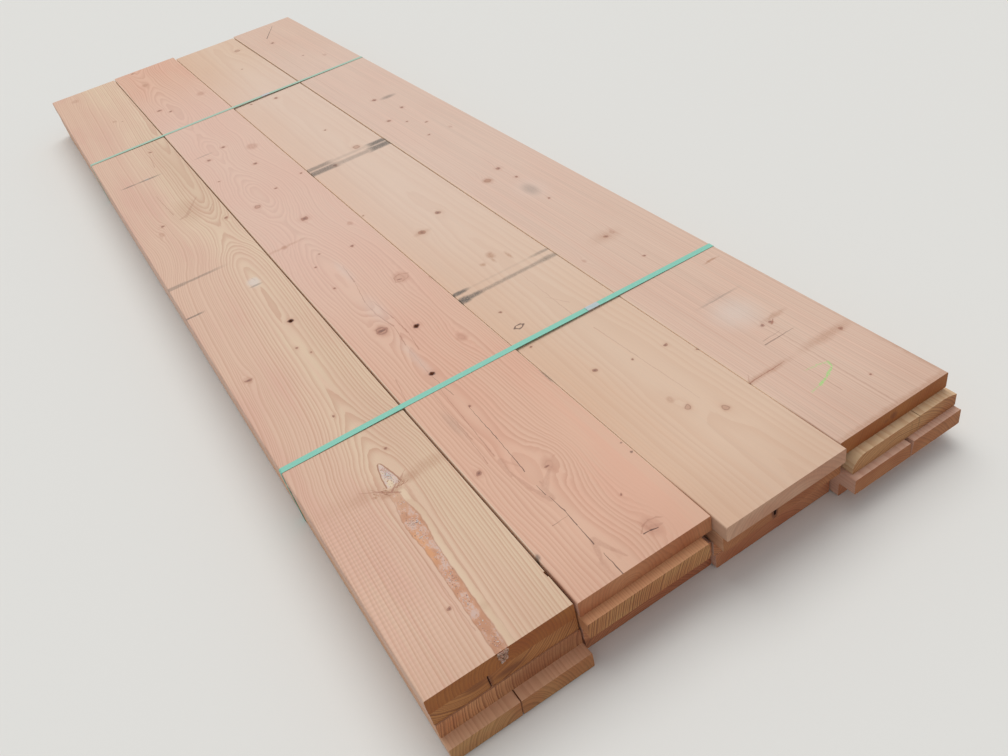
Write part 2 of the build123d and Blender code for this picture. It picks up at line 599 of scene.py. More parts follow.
def string_patches(place, patches):
    """Total of soft patches: centre, half sizes, softness, square or not, and strength."""
    amount = across_of(place) * 0
    for patch in patches:
        numbers, look = patch[:-3], patch[-3:]
        centre, half = numbers[:len(numbers) // 2], numbers[len(numbers) // 2:]
        if len(centre) == 2:
            centre, half = (*centre, 0), (*half, through_wood)
        (amount,) = use_group(patch_group, place, centre, half, *look, amount)
    return amount


def string_lines(place, lines):
    """Total of thin lines: where from and where to, half width and strength."""
    amount = across_of(place) * 0
    for across, along, to_across, to_along, *look in lines:
        ends = ((across, along, 0), (to_across, to_along, 0))
        (amount,) = use_group(line_group, place, *ends, *look, amount)
    return amount


print("kinds of knot:", ", ".join(knot_kinds))

# %% [markdown]
# ## The pitch pocket
# Where the tree was hurt it filled a long gap with resin, which has since dried to whitish
# crystals in orange wood. The streak widens to a whorl of torn grain, with a pointed pocket
# behind it. It is worked out from how far a point lies from the streak's middle line.

# %% Pitch
pitch_orange = srgb(210, 158, 128)
pitch_deep = srgb(194, 136, 102)
pitch_amber = srgb(226, 160, 106)
pitch_crystal = srgb(208, 184, 175)
pitch_speck = srgb(128, 94, 86)
pitch_edge = srgb(158, 108, 82)
pitch_cream = srgb(224, 203, 172)
streak_across = 145.5
streak_slope = 0.033
streak_half, streak_bulge, streak_neck = 12.5, 5.5, 2
streak_end = 430
lens_middle, lens_half = 171, 17
lens_start, lens_tip = 448, 527


def pitch_pocket(place, wobble, face):
    """The face with the streak, its pale border and the pointed pocket added."""
    across, along, _ = split(place + wobble * (4.5, 6, 0))
    off = across - (along * streak_slope + streak_across)
    bulge = hump(along, 250, 335, 345, 400) * streak_bulge
    half = streak_half + bulge - ease(along, 360, 430) * streak_neck
    edge = step("ABSOLUTE", off) - half
    within = ease(along, streak_end + 6, streak_end - 6)

    # The border, cream with a thin brown line outside it, lies on the right only
    border = hump(edge, 0, 2, 9, 15) * ease(off, 4, 12) * within
    face = mix(border * 0.36, face, pitch_cream)
    outline = hump(edge, 12, 13.5, 14, 16) * ease(off, 4, 12) * within
    face = mix(outline * 0.2, face, pitch_edge)

    clumps = cloud(place, (16, 30, 20), 2, 4)
    grains = cloud(place, (3.2, 5, 3), 2, 9)
    filling = mix(ease(clumps, 0.62, 0.38), pitch_orange, pitch_deep)
    clear = ease(off, 3, -5) * hump(along, 200, 250, 300, 335)
    filling = mix(clear * 0.6, filling, pitch_amber)
    filling = mix(ease(clumps + grains * 0.9, 0.92, 1.2) * 0.7, filling, pitch_crystal)
    filling = mix(ease(grains, 0.36, 0.26), filling, pitch_speck)
    filling = shade(filling, ease(along, 0, 130, 0.84, 0.95))
    filling = mix(ease(edge, -3, -0.5) * 0.6, filling, pitch_edge)
    shown = ease(edge, 1.2, -1.6) * within * ease(along, 425, 345, 0.55, 0.9)
    face = mix(shown, face, filling)

    # The pocket is blunt at the whorl and comes to a point, with a thin dark rim
    run = step("MAXIMUM", (lens_tip - along) / (lens_tip - lens_start), 0)
    run = step("MINIMUM", run, 1.2)
    lens_edge = step("ABSOLUTE", across - lens_middle) - step("SQRT", run) * lens_half
    inside = hump(along, lens_start, lens_start + 6, lens_tip - 2, lens_tip + 3)
    pocket = mix(ease(clumps + grains * 0.7, 0.66, 0.9), pitch_cream, pitch_crystal)
    pocket = mix(ease(grains, 0.42, 0.3) * 0.8, pocket, pitch_edge)
    face = mix(ease(lens_edge, 0, -2) * inside * 0.85, face, pocket)
    rim = hump(lens_edge, -3, -1.4, 0.4, 1.8) * inside
    return mix(rim * 0.8, face, pitch_edge)


print("the streak is", 2 * streak_half, "mm wide and", streak_end, "mm long")

# %% [markdown]
# ## The planed face
# A face mixes pale and pink wood and darkens with the seasons. The middle of the stack's top is
# paler and greyer, hands and mud browned its near end, and the planer's knives left a faint
# ripple.
# Sides that look at a neighbour are painted lighter, painted light against the shade in the gaps.

# %% Planed wood
# A brown for stains, also used as painted shade along the seams under the planks above
stain_and_painted_shade_brown = srgb(168, 118, 88)
middle_grey = srgb(222, 200, 190)
# Painted light: a pale colour for the sides of planks in the shaded gaps between them
painted_gap_light = srgb(240, 214, 190)
knife_pitch = 11


def planed_face(place, wood, side_on, summer, fibre, broad):
    """The face of a plank, before its knots and marks."""
    streak = cloud(place, (7, 700, 7), 2, wood.seed + 1)
    pale, pink, late = wood.face
    low, high, share = wood.blush
    across = across_of(place)
    along = along_of(place)
    patchy = ease(broad + streak * 0.5, 0.6, 0.95)
    face = mix(ease(across, high, low) * share + patchy * (1 - share), pale, pink)
    shown = 1 - string_patches(place, wood.plain) if wood.plain else 1
    face = mix(summer * wood.contrast * shown, face, late)
    # The face is paler and greyer over the middle of its length
    middle_span = hump(along, 500, 1600, 2700, 3500)
    face = mix(middle_span * wood.middle_greying, face, middle_grey)
    face = mix(ease(along, 150, -50) * 0.18, face, stain_and_painted_shade_brown)
    face = shade(face, 0.95 + fibre * 0.1 + (streak - 0.5) * wood.streaky)

    # Painted light: side faces inside the stack are lightened against the shade in the gaps,
    # fading in from 40 to 160 mm along
    gap_light_share = hump(across, 10, 30, 1120, 1140) * ease(along, 40, 160)
    face = mix(ease(side_on, 0.15, 0.6) * gap_light_share * 0.85, face, painted_gap_light)
    if wood.ripple:
        pressed = ease(across, 140, 70) * ease(along, 520, 400)
        pressed = pressed * ease(along, 20, 260, 0.3, 1)
        waves = step("SINE", along * (math.tau / knife_pitch))
        face = shade(face, 1 + waves * pressed * wood.ripple)
    return face


print("the planer's knives cut every", knife_pitch, "mm")

# %% [markdown]
# ## Knots and marks on the face
# A knot has rings of its own, a dark rim and warmer wood around it. Over the knots come the
# marks: first what grew, then what happened to the plank. Marks are rubbed, so a little of the
# wood shows through them.

# %% Knots and marks
knot_heart = srgb(158, 104, 84)
knot_dark = srgb(104, 62, 50)
knot_bark = srgb(70, 42, 34)
stain_grey = srgb(86, 80, 74)
bleach_grey = srgb(214, 202, 192)
crayon_green = srgb(142, 214, 112)


def add_knots(face, late, nearest, tone):
    """The face with its knots coloured in."""
    rings = ease(step("SINE", nearest * 19), -0.6, 0.9)
    colour = mix(rings * 0.4, knot_heart, late)
    colour = mix(ease(nearest, 0.75, 0.15) * ease(tone, 0.6, 1), colour, knot_dark)
    face = mix(ease(nearest, 3, 0.9) * 0.26, face, late)
    face = mix(step("MINIMUM", tone, 1) * 0.8, face, colour)
    rim = hump(nearest, 0.72, 0.94, 1, 1.25)
    face = mix(rim * ease(tone, 0.1, 0.5) * 0.4, face, knot_dark)
    return mix(ease(tone, 1.3, 2), face, knot_bark)


def add_marks(face, place, wood, wobble, wobbly, jittery, cracks):
    """The face with its stains, painted seam shade, streaks, strokes and cracks."""
    worn = cloud(place, (3, 3, 8), 3, wood.seed + 4)
    rubbed = ease(worn, 0.2, 0.6, 0.45, 1)
    # Brown patches: stains, and on the lower planks of column A painted shade along the seam under
    # the plank above
    face = mix(string_patches(wobbly, wood.brown_stains_and_painted_shade) * rubbed, face, stain_and_painted_shade_brown)
    face = mix(string_lines(jittery, wood.strokes) * rubbed, face, knot_heart)
    face = mix(string_patches(wobbly, wood.bleached) * rubbed, face, bleach_grey)
    if wood.pitch:
        face = pitch_pocket(place, wobble, face)
    face = mix(string_patches(jittery, wood.stains) * rubbed, face, stain_grey)
    if wood.crayon:
        waxy = string_lines(jittery, wood.crayon) * ease(worn, 0.35, 0.6)
        face = mix(waxy, face, crayon_green)
    return mix(cracks, face, knot_bark)


print("marks are rubbed to between 45 and 100 percent")

# %% [markdown]
# ## The sawn end, and all of it together
# The sawn end takes up light differently, because the cut opens the fibres: it is darker,
# stronger in colour and scratched by the blade. The surface's own direction tells whether a
# point lies on an end or on a face.

# %% Sawn wood and the whole material
def sawn_end(place, wood, summer, broad, scratches):
    """The sawn end of a plank."""
    pale, red, late = wood.end
    end = mix(ease(broad + scratches * 0.3, 0.45, 0.85), pale, red)
    end = mix(summer * wood.end_contrast, end, late)
    end = shade(end, 0.8 + scratches * 0.4)
    return mix(string_patches(place, wood.end_marks), end, late)


def wood_material(name, wood):
    """A material for one plank."""
    material, shader, metres = new_material(name)
    place = off_hook(metres)
    facing = Field(metres.tree, metres.socket.node.outputs["Normal"])
    facing = vector_step("ABSOLUTE", facing)
    sawn = ease(along_of(facing), 0.5, 0.8)

    # Knots and marks are never quite even, so they are read at places that wobble a little
    three_noises = noise(place / (14, 20, 30), 1).outputs["Color"]
    wobble = Field(metres.tree, three_noises) - (0.5, 0.5, 0.5)
    wobbly = place + wobble * (9, 12, 0)
    jittery = place + wobble * (4, 4, 0)

    pushed, rise, nearest, tone = string_knots(wobbly, wood.knots)
    push = across_of(pushed - wobbly)
    summer = count_years(place, wood, push, rise)
    fibre = cloud(place, (1.3, 90, 1.3), 3, wood.seed)
    broad = cloud(place, (110, 420, 60), 2, wood.seed + 2)
    scratches = cloud(place, (1.2, 1.2, 16), 3, wood.seed + 6)
    cracks = string_lines(jittery, wood.cracks)

    face = planed_face(place, wood, across_of(facing), summer, fibre, broad)
    face = add_knots(face, wood.face[2], nearest, tone)
    face = add_marks(face, place, wood, wobble, wobbly, jittery, cracks)
    end = sawn_end(place, wood, summer, broad, scratches)
    fill(shader, Base_Color=mix(sawn, face, end), Roughness=0.55 + fibre * 0.2 + sawn * 0.15)
    height = fibre * 0.2 * (1 - sawn) + scratches * 0.6 * sawn - cracks * 0.7
    emboss(shader, height, 0.6)
    return material


print("a face and an end make one material")

# %% [markdown]
# ## Sixteen planks
# The colours were judged on a grey day: peach and tan faces, brown ends. The lists follow what
# each plank shows, read with the tape from the hook.

# %% Colours of faces and ends
peach_face = (srgb(219, 193, 164), srgb(212, 170, 149), srgb(188, 140, 114))
rosy_face = (srgb(217, 179, 157), srgb(216, 168, 146), srgb(188, 134, 112))
salmon_face = (srgb(217, 175, 150), srgb(216, 163, 139), srgb(186, 130, 106))
cream_face = (srgb(216, 187, 163), srgb(212, 175, 147), srgb(194, 150, 122))
tan_face = (srgb(214, 184, 164), srgb(213, 176, 156), srgb(190, 142, 120))
yellow_face = (srgb(219, 190, 150), srgb(213, 178, 142), srgb(186, 140, 96))
ochre_face = (srgb(216, 170, 134), srgb(208, 154, 122), srgb(182, 124, 92))
golden_face = (srgb(211, 157, 112), srgb(204, 143, 102), srgb(178, 114, 76))

orange_end = (srgb(160, 98, 45), srgb(148, 79, 31), srgb(112, 57, 25))
brown_end = (srgb(188, 128, 88), srgb(172, 104, 66), srgb(128, 74, 46))
olive_end = (srgb(185, 139, 89), srgb(168, 109, 66), srgb(124, 78, 44))
yellow_end = (srgb(190, 141, 88), srgb(174, 113, 66), srgb(107, 60, 32))
chestnut_end = (srgb(202, 146, 101), srgb(187, 121, 79), srgb(129, 76, 47))
red_end = (srgb(184, 122, 84), srgb(168, 98, 64), srgb(126, 74, 48))
russet_end = (srgb(171, 112, 70), srgb(153, 90, 52), srgb(112, 64, 37))
mauve_end = (srgb(198, 156, 128), srgb(186, 136, 108), srgb(152, 108, 86))
amber_end = (srgb(180, 121, 69), srgb(164, 101, 52), srgb(116, 66, 35))
sandy_end = (srgb(187, 138, 91), srgb(171, 112, 69), srgb(124, 76, 46))

# %% [markdown]
# ### Column A
# The top plank has the long pitch streak that ends in a whorl of torn grain, and flames that
# close at two places further on. The ones below show ledges and ends.

# %% Planks of column A
a1 = Wood(
    heart=(152, -36), lean=43, spacing=6.6, face=peach_face, end=orange_end, pitch=True,
    ripple=0.045, middle_greying=0.08, blush=(90, 190, 0.6), wave=3, sway=7, contrast=0.62,
    end_contrast=0.4,
    flames=[
        (0, 0), (430, 0), (500, 0.3), (545, 0.85), (583, 1.81), (643, 2.8), (718, 4.39),
        (809, 5.22), (900, 5.35), (1300, 5.5), (1480, 5.9), (1600, 8), (1730, 12), (1800, 12.5),
        (1900, 11), (2100, 8), (2400, 7), (2700, 5.5), (3200, 5), (3700, 4),
    ],
    knots=[
        ("curl", 160, 442, 44), ("pin", 116, 125, 8), ("pin", 200, 556, 8), ("pin", 158, 732, 7),
        ("pin", 186, 1035, 8), ("swirl", 48, 1002, 20), ("pin", 48, 1002, 9),
        ("knot", 88, 1987, 12), ("knot", 264, 1863, 12), ("knot", 207, 2636, 11),
        ("swirl", 72, 1932, 22), ("swirl", 172, 3112, 18), ("swirl", 87, 3558, 34),
        ("pin", 195, 3075, 6), ("pin", 208, 990, 6), ("hole", 217, 1157, 16),
    ],
    stains=[
        (12, 1387, 34, 4, 0.4, 1, 0.7), (60, 1578, 88, 6, 0.5, 1, 0.5),
        (20, 1578, 30, 9, 0.4, 1, 0.5), (75, 2399, 26, 5, 0.6, 0, 0.7),
        (140, 2399, 40, 6, 0.6, 0, 0.7), (205, 1398, 16, 4, 0.6, 0, 0.5),
        (217, 1157, 5, 6, 0.5, 0, 0.9),
    ],
    brown_stains_and_painted_shade=[
        (195, 2030, 44, 84, 0.9, 0, 0.34), (108, 462, 36, 18, 0.8, 0, 0.28),
        (60, 472, 60, 20, 0.9, 0, 0.1), (208, 450, 30, 13, 0.8, 0, 0.5),
        (254, 456, 44, 20, 0.9, 0, 0.42), (158, 434, 24, 9, 0.7, 0, 0.6),
        (167, 92, 7, 9, 0.8, 0, 0.4), (256, 500, 72, 800, 0.6, 0, 0.13),
        (262, 2350, 74, 460, 0.7, 0, 0.24),
    ],
    bleached=[(205, 1418, 16, 24, 0.5, 0, 0.8), (137, 2400, 8, 10, 0.5, 0, 0.7)],
    strokes=[
        (172, 424, 134, 456, 3.4, 0.8), (152, 430, 128, 470, 2.4, 0.6),
        (150, 446, 104, 478, 2.2, 0.5), (160, 438, 186, 462, 3, 0.8),
        (172, 440, 198, 466, 2.4, 0.7), (166, 444, 192, 440, 3, 0.7),
        (178, 452, 206, 474, 1.8, 0.5), (162, 452, 186, 486, 1.8, 0.5),
        (138, 2036, 128, 2230, 2.4, 0.5), (166, 1985, 232, 2096, 9, 0.3),
        (150, 1985, 196, 2008, 7, 0.35), (240, 1960, 262, 2000, 4, 0.4),
        (186, 2480, 196, 2600, 3, 0.4), (212, 1424, 208, 1444, 3, 0.5),
        (130, 60, 134, 420, 1.6, 0.35),
    ],
)
a2 = Wood(
    heart=(100, 60), spacing=5.6, face=rosy_face, end=amber_end, end_contrast=0.95,
    # The brown band along the top edge of the sawn end is painted shade under the plank above
    brown_stains_and_painted_shade=[(143, 3, -38, 170, 7, 4, 0.5, 1, 0.9)],
    end_marks=[
        (86, 3, -48, 20, 40, 12, 0.5, 0, 0.5), (150, 3, -62, 26, 40, 7, 0.8, 0, 0.8),
        (112, 3, -60, 5, 40, 16, 0.7, 0, 0.7),
    ],
)
a3 = Wood(
    heart=(345, -112), spacing=5.4, face=ochre_face, end=chestnut_end, end_contrast=0.95,
    end_marks=[(215, 0, -95, 100, 40, 24, 0.5, 0, 0.55)],
    # The brown band along the top edge of the sawn end is painted shade under the plank above
    brown_stains_and_painted_shade=[(143, 0, -76, 170, 7, 4, 0.5, 1, 0.9)],
)
a4 = Wood(heart=(140, -175), spacing=6.5, face=ochre_face, end=olive_end, end_contrast=0.6)

# %% [markdown]
# ### Column B
# The top plank was cut close to many branches: knots of all sizes, with the grain winding
# between them like a river. A drying crack starts at its end.

# %% Planks of column B
b1 = Wood(
    heart=(392, -40), spacing=7.4, face=salmon_face, end=brown_end, middle_greying=0.36, sway=6, wave=8,
    wave_lump=(55, 190, 70), contrast=0.5, end_contrast=0.35,
    flames=[
        (0, 0), (600, 0), (900, 0.8), (1250, -0.5), (1480, 2.2), (1600, 4.2), (1760, 2),
        (1900, 0.2), (2060, 2), (2250, 4.6), (2420, 3), (2620, 5), (2900, 3), (3100, 3.6),
        (3420, 6), (3700, 3.5),
    ],
    knots=[
        ("dip", 486, 38, 56), ("swirl", 484, 41, 34), ("dip", 450, 300, 60),
        ("swirl", 433, 288, 30), ("pin", 430, 286, 5), ("knot", 315, 359, 11),
        ("eye", 375, 935, 30), ("knot", 375, 935, 11), ("pin", 400, 545, 6),
        ("pin", 487, 137, 3.5), ("swirl", 508, 768, 26), ("swirl", 516, 1112, 40),
        ("pin", 514, 1106, 6), ("swirl", 572, 1050, 16), ("pin", 363, 1203, 8),
        ("pin", 364, 1347, 6), ("pin", 402, 1405, 6), ("pin", 488, 1367, 8),
        ("swirl", 337, 1522, 16), ("knot", 447, 1637, 20), ("eye", 365, 1841, 20),
        ("pin", 454, 1914, 8), ("knot", 467, 2159, 12), ("knot", 353, 2341, 14),
        ("knot", 428, 2407, 14), ("swirl", 507, 2312, 40), ("pin", 327, 2137, 8),
        ("hole", 390.5, 700, 16), ("hole", 447.6, 888, 17), ("swirl", 537, 1495, 18),
        ("pin", 555, 1943, 8), ("knot", 345, 3030, 16), ("pin", 378, 2972, 12),
        ("swirl", 528, 3046, 34), ("swirl", 378, 3417, 30), ("pin", 370, 3642, 12),
    ],
    brown_stains_and_painted_shade=[(378, 3417, 10, 52, 0.6, 0, 0.3), (337, 1525, 60, 6, 0.7, 0, 0.35)],
    stains=[
        (350, 2399, 30, 5, 0.7, 0, 0.35), (574, 510, 2, 22, 0.6, 1, 0.6),
        (292, 116, 4, 7, 0.6, 0, 0.7), (345, 520, 9, 40, 0.9, 0, 0.2),
    ],
    bleached=[
        (389, 775, 9, 70, 0.9, 0, 0.3), (404, 1030, 18, 60, 0.9, 0, 0.3),
        (416, 1260, 10, 60, 0.9, 0, 0.3),
    ],
    cracks=[
        (384, -8, 385, 50, 1.7, 0.8), (384, 76, 386, 132, 1.6, 0.8),
        (386, 130, 388, 172, 1.6, 0.8), (388, 170, 386, 220, 1.5, 0.75),
        (384, 228, 383, 258, 1.3, 0.7), (386, 304, 393, 420, 1.3, 0.8),
        (393, 418, 398, 545, 1.1, 0.8), (351, 158, 387, 158, 1, 0.5), (392, 600, 386, 690, 1, 0.6),
        (463, 38, 478, 37, 1.8, 0.85), (477, 37, 492, 33, 2.4, 0.9), (570, 208, 572, 208, 5, 0.65),
        (570, 241, 572, 241, 3.8, 0.5),
    ],
    plain=[(548, 150, 56, 330, 0.5, 0, 0.9), (380, 120, 20, 130, 0.6, 0, 0.6)],
    strokes=[
        (461, 42, 472, 53, 2.6, 0.45), (472, 53, 487, 57, 3, 0.5), (487, 57, 502, 54, 3.2, 0.45),
        (502, 54, 512, 46, 3, 0.4), (484, 40, 502, 36, 9, 0.3), (496, 1100, 512, 1092, 2.6, 0.5),
        (512, 1092, 532, 1098, 2.6, 0.5), (532, 1098, 540, 1116, 2.4, 0.4),
        (540, 1116, 520, 1130, 2.6, 0.5), (520, 1130, 502, 1124, 2.6, 0.5),
        (502, 1124, 496, 1100, 2.4, 0.5), (388, 84, 369, 30, 9, 0.3), (372, 36, 368, -8, 9, 0.2),
        (388, 84, 412, 20, 9, 0.3), (386, 212, 370, 262, 10, 0.34), (372, 256, 362, 330, 7, 0.3),
        (366, 362, 360, 310, 8, 0.28), (368, 360, 388, 318, 6, 0.2), (388, 214, 394, 262, 8, 0.3),
        (392, 244, 424, 276, 12, 0.25), (343, 372, 349, 480, 1.8, 0.5),
        (352, 452, 358, 650, 2, 0.4), (363, 380, 379, 640, 2, 0.55), (386, 710, 394, 840, 2, 0.4),
        (394, 840, 406, 930, 2.6, 0.6), (406, 930, 395, 1010, 3, 0.6),
        (395, 1010, 396, 1080, 2.4, 0.5), (396, 1080, 416, 1190, 2, 0.5),
        (416, 1190, 424, 1290, 2.6, 0.6), (410, 800, 421, 880, 2.2, 0.5),
        (421, 880, 421, 960, 2.6, 0.6), (421, 960, 413, 1070, 2.6, 0.6),
        (318, 740, 300, 640, 2, 0.4),
    ],
)
b2 = Wood(
    heart=(760, -150), spacing=5, face=golden_face, end=yellow_end, end_contrast=0.95, wave=3,
    sway=4,
)
b3 = Wood(heart=(430, 40), spacing=6, face=rosy_face, end=brown_end)
b4 = Wood(heart=(420, -250), spacing=6, face=rosy_face, end=red_end)

# %% [markdown]
# ### Column C
# The top plank is the palest and plainest. Two sticks lay across it while it dried, and left
# two pairs of grey bands, darkest near its edges. A small knot shows as a dark ring.

# %% Planks of column C
c1 = Wood(
    heart=(752, -120), spacing=9, face=cream_face, end=mauve_end, middle_greying=0.32,
    blush=(590, 745, 0.75), sway=8, wave=5, contrast=0.24, end_contrast=0.35,
    flames=[(0, 0), (1200, 2.5), (2400, 3.5), (3700, 5)],
    knots=[
        ("pin", 628, 791, 7), ("pin", 607, 624, 7), ("pin", 664, 457, 10), ("eye", 731, 236, 13),
        ("eye", 783, 184, 13), ("pin", 745, 428, 6), ("pin", 825, 416, 9), ("pin", 863, 359, 7),
        ("knot", 667, 1279, 20), ("knot", 753, 1343, 15), ("pin", 587, 1512, 7),
        ("knot", 663, 1903, 14), ("eye", 772, 1972, 24), ("pin", 752, 2207, 9),
        ("knot", 737, 2686, 15), ("pin", 643, 2721, 9), ("eye", 818, 3433, 26),
        ("pin", 752, 3167, 8), ("swirl", 721, 276, 14),
    ],
    stains=[
        (590, 901, 22, 14, 0.5, 0, 1), (612, 901, 40, 9, 0.6, 0, 0.85),
        (720, 901, 155, 7, 0.7, 1, 0.5), (840, 901, 40, 9, 0.7, 0, 0.6),
        (594, 937, 28, 8, 0.5, 0, 0.95), (700, 937, 130, 4, 0.9, 1, 0.12),
        (845, 937, 34, 6, 0.7, 0, 0.5), (612, 1907, 56, 17, 0.5, 1, 0.8),
        (725, 1907, 145, 13, 0.6, 1, 0.42), (838, 1907, 44, 17, 0.5, 1, 0.9),
        (612, 1945, 50, 13, 0.5, 1, 0.65), (725, 1945, 145, 9, 0.8, 1, 0.2),
        (845, 1943, 40, 14, 0.5, 1, 0.9),
    ],
    brown_stains_and_painted_shade=[
        (705, 1002, 6, 8, 0.8, 0, 0.6), (742, 1026, 9, 16, 0.8, 0, 0.7),
        (735, 1005, 4, 18, 0.8, 0, 0.5), (777, 990, 4, 18, 0.7, 0, 0.6),
        (667, 1279, 20, 9, 0.8, 0, 0.4),
    ],
    cracks=[
        (618, 709, 626, 701, 4, 0.75), (626, 701, 637, 702, 4.2, 0.75),
        (642, 708, 636, 702, 4.2, 0.8), (642, 708, 636, 714, 4, 0.75),
        (636, 714, 625, 716, 4.2, 0.75), (618, 709, 625, 716, 3.8, 0.8),
    ],
    strokes=[
        (752, 580, 765, 240, 2, 0.3), (745, 640, 752, 900, 1.8, 0.3),
        (768, 700, 740, 760, 1.6, 0.3),
    ],
)
c2 = Wood(
    heart=(705, -150), spacing=5.5, face=ochre_face, end=russet_end, end_contrast=0.5,
    cracks=[(701, -40, 702, 30, 9, 1)],
    end_marks=[(701, -31, -57, 8, 30, 24, 0.3, 0, 1)],
)
c3 = Wood(heart=(690, 30), spacing=6, face=tan_face, end=brown_end)
c4 = Wood(heart=(720, -240), spacing=6, face=rosy_face, end=red_end, end_contrast=0.5)

# %% [markdown]
# ### Column D
# The top plank has fine straight grain, cut with the rings nearly on edge. A green crayon hook
# and a few dark ticks mark it near its end. The one below was cut just under the bark.

# %% Planks of column D
d1 = Wood(
    heart=(700, 60), spacing=5.4, face=tan_face, end=orange_end, middle_greying=0.2, streaky=0.22, sway=8,
    wave=3, contrast=0.42, end_contrast=0.4,
    knots=[
        ("pin", 1032, 318, 9), ("pin", 1012, 322, 8), ("pin", 1047, 65, 5), ("pin", 1116, 204, 9),
        ("pin", 1011, 723, 7), ("knot", 1000, 868, 12), ("swirl", 1022, 872, 12),
        ("pin", 1014, 1152, 7), ("swirl", 895, 815, 10), ("eye", 949, 1385, 20),
        ("pin", 1020, 1335, 10), ("knot", 1012, 1427, 14), ("knot", 942, 2060, 14),
        ("knot", 1027, 2126, 12), ("knot", 988, 2285, 14), ("swirl", 1062, 1824, 14),
        ("pin", 1027, 1932, 9), ("pin", 982, 1997, 8), ("pin", 983, 1831, 8),
        ("knot", 966, 3355, 16), ("swirl", 1062, 2954, 18), ("pin", 997, 3043, 8),
    ],
    stains=[
        (1037, 2266, 24, 12, 0.8, 0, 0.6), (1007, 1237, 16, 34, 0.8, 0, 0.35),
        (1015, 462, 44, 2.6, 0.7, 1, 0.36), (1004, 468, 20, 6, 0.8, 0, 0.12),
    ],
    brown_stains_and_painted_shade=[
        (910, 205, 52, 7, 0.8, 0, 0.5), (1080, 207, 62, 12, 0.8, 0, 0.45),
        (1052, 330, 26, 7, 0.8, 0, 0.5), (949, 1385, 12, 16, 0.8, 0, 0.5),
        (1000, 868, 34, 22, 0.9, 0, 0.3), (1106, 588, 18, 3, 0.7, 0, 0.8),
        (1012, -27, 0, 150, 9, 20, 0.7, 1, 0.5), (1152, 40, 0, 8, 80, 30, 0.8, 1, 0.5),
        (1152, 300, 0, 5, 260, 30, 0.8, 1, 0.25),
    ],
    end_marks=[(1004, -27, -21, 9, 30, 8, 0.6, 0, 0.7), (986, -27, -24, 6, 30, 4, 0.7, 0, 0.5)],
    bleached=[(1003, 396, 42, 48, 0.95, 0, 0.55), (1010, 1237, 34, 54, 0.9, 0, 0.25)],
    cracks=[
        (970, 270, 1050, 270, 2.4, 0.5), (976, 282, 1026, 283, 2.2, 0.28),
        (970, 3446, 1053, 3600, 3, 0.85),
    ],
    strokes=[
        (864, 204, 912, 205, 2.4, 0.9), (912, 205, 960, 206, 2, 0.9), (866, 206, 880, 226, 2, 0.4),
        (975, 70, 976, 262, 1.4, 0.4), (1019, -20, 1020, 520, 2, 0.35),
        (1030, 312, 1044, 322, 3.4, 0.8),
    ],
    crayon=[
        (930, 104, 958, 108, 3, 0.5), (958, 108, 990, 119, 5.4, 0.95),
        (990, 119, 1014, 132, 5.4, 0.95), (1018, 146, 1014, 130, 5, 0.8),
        (1016, 146, 996, 154, 4.4, 0.5), (996, 154, 966, 158, 4, 0.4),
    ],
)
d2 = Wood(heart=(1000, -200), spacing=5.5, face=yellow_face, end=sandy_end, contrast=0.6)
d3 = Wood(heart=(960, -210), spacing=6, face=rosy_face, end=russet_end, end_contrast=0.5)
d4 = Wood(heart=(1010, -260), spacing=6, face=rosy_face, end=red_end)

# %% [markdown]
# ## Putting the wood on
# The pieces of the frame keep their shapes and get their finish by name. A plank's number in
# the row seeds its clouds, so no two planks are alike.

# %% Dressing the planks
planks = [a1, a2, a3, a4, b1, b2, b3, b4, c1, c2, c3, c4, d1, d2, d3, d4]
names = [f"plank_{column}{layer}" for column in "abcd" for layer in (1, 2, 3, 4)]


def dress(node_name, material):
    """Gives a piece of the frame one material all over."""
    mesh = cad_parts[node_name].data
    mesh.materials.clear()
    mesh.materials.append(material)


for seed, (name, wood) in enumerate(zip(names, planks), 1):
    wood.seed = seed
    material = wood_material(name + "_wood", wood)
    dress(name, material)
    print(name, "knots", len(wood.knots), "nodes", len(material.node_tree.nodes))

# %% [markdown]
# ## Dried resin
# The resin stands proud of the wood in crumbs, thickest in a few clusters along the streak, and
# it once ran over the end of the plank and hangs there. Each crumb is a small lump pressed flat
# on the wood, and all of them are one mesh. The seed keeps them in place from run to run.

# %% Resin crumbs
resin, resin_shader, resin_metres = new_material("dried_resin")
resin_place = off_hook(resin_metres)
resin_lumps = cloud(resin_place, (4, 4, 4), 2, 3)
resin_tint = cloud(resin_place, (14, 22, 14), 1, 8)
resin_colour = mix(ease(resin_tint, 0.35, 0.65), srgb(204, 156, 128), srgb(208, 188, 180))
resin_colour = mix(ease(resin_lumps, 0.42, 0.28), resin_colour, srgb(126, 92, 84))
on_end = ease(along_of(resin_place), 3, -1)
dirty = ease(resin_lumps, 0.66, 0.4, 0.3, 0.95)
resin_colour = mix(on_end * dirty, resin_colour, srgb(156, 116, 96))
fill(resin_shader, Base_Color=resin_colour, Roughness=0.3 + resin_lumps * 0.25)
fill(resin_shader, Subsurface_Weight=0.2, Subsurface_Scale=0.002)

dice = random.Random(11)


def add_crumb(mesh, place, size, height, tilt=0):
    """One lump of resin: a rough ball pressed flat, at a place in millimetres off the hook."""
    spin = Matrix.Rotation(dice.uniform(0, math.tau), 3, "Z")
    turn = Matrix.Rotation(math.radians(tilt), 3, "X") @ spin
    sides = Vector((size * dice.uniform(0.7, 1.1), size * dice.uniform(0.7, 1.3), height))
    shape = Matrix.LocRotScale(spot(*place), turn, sides * (MILLIMETRE / 2))
    corners = bmesh.ops.create_icosphere(mesh, subdivisions=2, radius=1)["verts"]
    for corner in corners:
        corner.co = shape @ (corner.co * dice.uniform(0.86, 1.1))


def joined(name, shapes, material):
    """Turns the gathered shapes into one object of one material."""
    mesh = bpy.data.meshes.new(name)
    shapes.to_mesh(mesh)
    shapes.free()
    mesh.materials.append(material)
    return add_object(name, mesh)


crumbs = bmesh.new()
